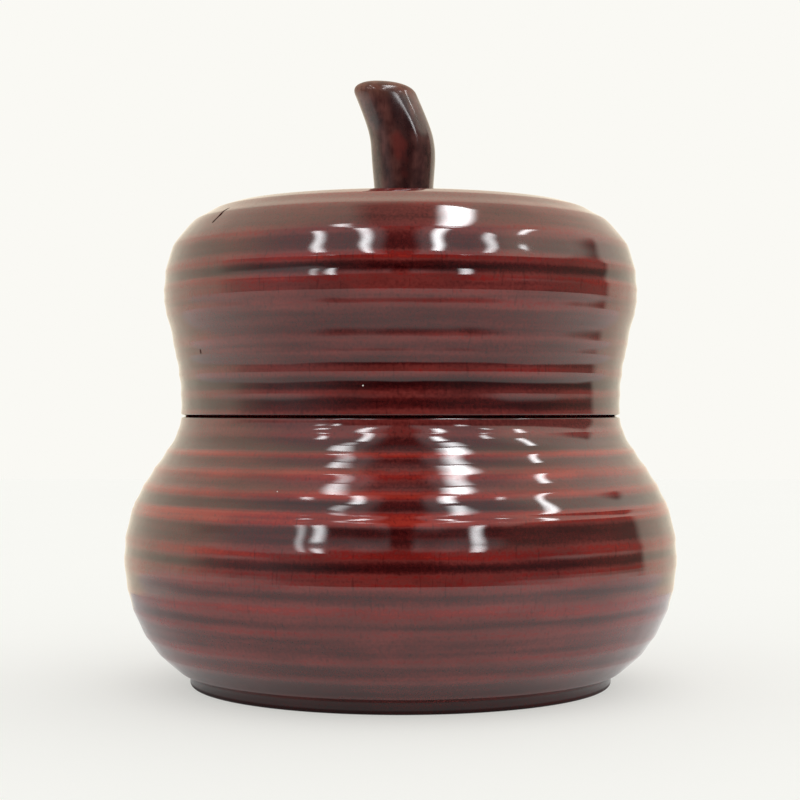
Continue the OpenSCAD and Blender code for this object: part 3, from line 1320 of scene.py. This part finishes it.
@dataclass(frozen=True)
class Room:
    """Light round the box by direction, even and pale, and for the gloss a room with dark parts in front.

    The band lists how pale the room is above the table by bearing, in degrees from the front to the right.
    """

    wall_front: Colour = (0.75, 0.74, 0.74)
    wall_back: Colour = (1.2, 1.09, 0.88)
    window: Colour = (1.5, 1.38, 1.18)
    table_front: Colour = (0.76, 0.76, 0.73)
    table_back: Colour = (1.25, 1.2, 1.1)
    light_left: Colour = (0.72, 0.71, 0.7)
    light_right: Colour = (1.26, 1.24, 1.21)
    light_front: Colour = (0.9, 0.89, 0.87)
    backdrop: Colour = (0.956, 0.947, 0.905)
    band: tuple[Point, ...] = (
        (-180, 1.0), (-100, 1.0), (-85, 0.6), (-70, 0.42), (-55, 0.45), (-42, 0.3), (-28, 0.14), (-12, 0.03),
        (10, 0.03), (25, 0.1), (60, 0.16), (80, 0.17), (114, 0.2), (119, 1.0), (180, 1.0),
    )

    def seen_in_gloss(self, nodes: Nodes, x: Socket, y: Socket, z: Socket) -> Socket:
        """What the lacquer reflects.

        Args:
            nodes: The world's nodes.
            x: Part of the direction to the right.
            y: Part of it to the back.
            z: Part of it upwards.

        Returns:
            The colour's socket.
        """
        # Walls with a window at the right
        walls = nodes.mix(nodes.span(y, -0.5, 0.15), self.wall_front, self.wall_back)
        side = nodes.times(nodes.span(x, 0.5, 0.8), nodes.span(z, 0.6, 0.85, 1.0, 0.0))
        room = nodes.mix(nodes.times(nodes.span(z, 0.1, 0.4), side), walls, self.window)
        # Table, which reaches up further at the sides
        aside = nodes.times(nodes.span(nodes.math("ABSOLUTE", x), 0.5, 0.95), -0.11)
        below = nodes.span(nodes.math("ADD", z, aside), -0.27, -0.18, 1.0, 0.0)
        table = nodes.mix(nodes.span(y, -0.8, 0.2), self.table_front, self.table_back)
        room = nodes.mix(below, room, table)
        # Dark band above the table, lower at the left
        turn = nodes.math("ARCTAN2", x, nodes.times(y, -1.0))
        turn = nodes.math("ADD", nodes.math("DIVIDE", turn, 2 * math.pi), 0.5)
        stops = [((bearing + 180) / 360, (pale, pale, pale)) for bearing, pale in self.band]
        left = nodes.times(nodes.span(x, -0.65, -0.45, 1.0, 0.0), 0.16)
        band = nodes.times(
            nodes.math("SUBTRACT", 1.0, nodes.ramp(turn, stops)),
            nodes.span(nodes.math("ADD", z, left), 0.35, 0.44, 1.0, 0.0),
            nodes.math("SUBTRACT", 1.0, below),
        )
        room = nodes.mix(band, room, BLACK)
        # Dark column in front, up to the ceiling
        slope = nodes.math("DIVIDE", nodes.math("ABSOLUTE", x), nodes.math("MAXIMUM", z, 0.05))
        column = nodes.times(
            nodes.span(slope, 0.12, 0.28, 1.0, 0.0),
            nodes.span(y, 0.0, 0.3, 1.0, 0.0),
            nodes.span(z, 0.15, 0.3),
            nodes.span(z, 0.8, 0.95, 0.93, 0.7),
        )
        return nodes.mix(column, room, BLACK)

    def build(self) -> None:
        """Set the world's light."""
        world = bpy.data.worlds.new("studio")
        bpy.context.scene.world = world
        world.use_nodes = True
        nodes = Nodes(world.node_tree)
        x, y, z = nodes.axes(nodes.where("Generated"))
        light = nodes.mix(nodes.span(x, -0.9, 0.9), self.light_left, self.light_right)
        light = nodes.mix(nodes.span(y, -0.6, 0.2, 1.0, 0.0), light, self.light_front)
        ray = nodes.add("ShaderNodeLightPath").outputs
        plain = nodes.mix(ray["Is Camera Ray"], light, self.backdrop)
        colour = nodes.mix(ray["Is Glossy Ray"], plain, self.seen_in_gloss(nodes, x, y, z))
        shader = nodes.add("ShaderNodeBackground", values={"Color": colour}).outputs["Background"]
        nodes.add("ShaderNodeOutputWorld", values={"Surface": shader})


@dataclass
class Stage:
    """Sheet, room, lamps and camera, with the camera's place in millimetres."""

    focal_px: float = 1850.0
    frame_px: float = 800.0
    axis_column: float = 400.5
    horizon_row: float = 408.0
    distance: float = 219.9
    eye: float = 32.43
    lamps: tuple[CeilingTube, ...] = (
        CeilingTube("tube_left_near", (-0.34, 0.2), (-0.42, 0.5), 0.20, 10),
        CeilingTube("tube_left_mid", (-0.42, 0.54), (-0.44, 0.78), 0.18, 5),
        CeilingTube("tube_left_far", (-0.38, 0.88), (-0.42, 1.55), 0.22, 13),
        CeilingTube("tube_far_left_near", (-0.92, 0.86), (-1.0, 1.1), 0.22, 12),
        CeilingTube("tube_far_left_far", (-1.3, 1.85), (-1.6, 2.5), 0.34, 10),
        CeilingTube("tube_far_left_edge", (-1.55, 1.65), (-1.9, 2.2), 0.3, 5),
        CeilingTube("tube_right_near", (0.27, -0.08), (0.32, 0.36), 0.25, 22),
        CeilingTube("tube_right_mid", (0.37, 0.4), (0.43, 0.75), 0.26, 12),
        CeilingTube("tube_right_far", (0.42, 0.9), (0.45, 1.3), 0.22, 18),
        CeilingTube("tube_far_right_near", (0.95, 0.02), (1.42, 0.6), 0.2, 14),
        CeilingTube("tube_far_right_mid", (1.04, 0.86), (1.1, 1.1), 0.22, 10),
        CeilingTube("tube_far_right_far", (1.2, 1.85), (1.45, 2.4), 0.34, 11),
    )

    def camera(self) -> None:
        """Place the camera at the photograph's viewpoint."""
        data = bpy.data.cameras.new("camera")
        data.sensor_width = 36.0
        data.lens = data.sensor_width * self.focal_px / self.frame_px
        data.clip_start = 0.01
        obj = bpy.data.objects.new("camera", data)
        half = self.frame_px / 2
        pitch = math.atan((self.horizon_row - half) / self.focal_px)
        shift = -(self.axis_column - half) / self.focal_px * self.distance
        obj.location = (shift * MM, -self.distance * MM, self.eye * MM)
        obj.rotation_euler = (math.pi / 2 + pitch, 0, 0)
        bpy.context.scene.collection.objects.link(obj)
        bpy.context.scene.camera = obj

    def build(self) -> None:
        """Set the stage."""
        bpy.context.scene.view_settings.view_transform = "Standard"
        self.camera()
        Sheet().build()
        Room().build()
        for lamp in self.lamps:
            lamp.build()


def main() -> None:
    """Build every piece in order from the frame's sizes, log each one's face count, and set the stage."""
    logging.basicConfig(level=logging.INFO, format="%(name)s: %(message)s")
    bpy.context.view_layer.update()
    effects = Effects()
    lacquers = Lacquers(
        TurnedLacquer().build(effects), StemLacquer().build(effects), BlackLacquer().build(effects)
    )
    fit = Fit.from_frame()
    lid_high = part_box("lid")[1] / MM
    stem_low, stem_high = (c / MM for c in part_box("stem"))
    pieces = [
        Bowl(fit).build(lacquers),
        FittingRing(fit).build(lacquers),
        Lid(fit, crown_top=lid_high.z).build(lacquers),
        Stem(foot_z=lid_high.z, top_z=stem_high.z, tenon_bottom=stem_low.z).build(lacquers),
    ]
    for piece in pieces:
        LOG.info("%s: %d faces", piece.name, len(piece.data.polygons))
    Stage().build()


if __name__ == "__main__":
    main()
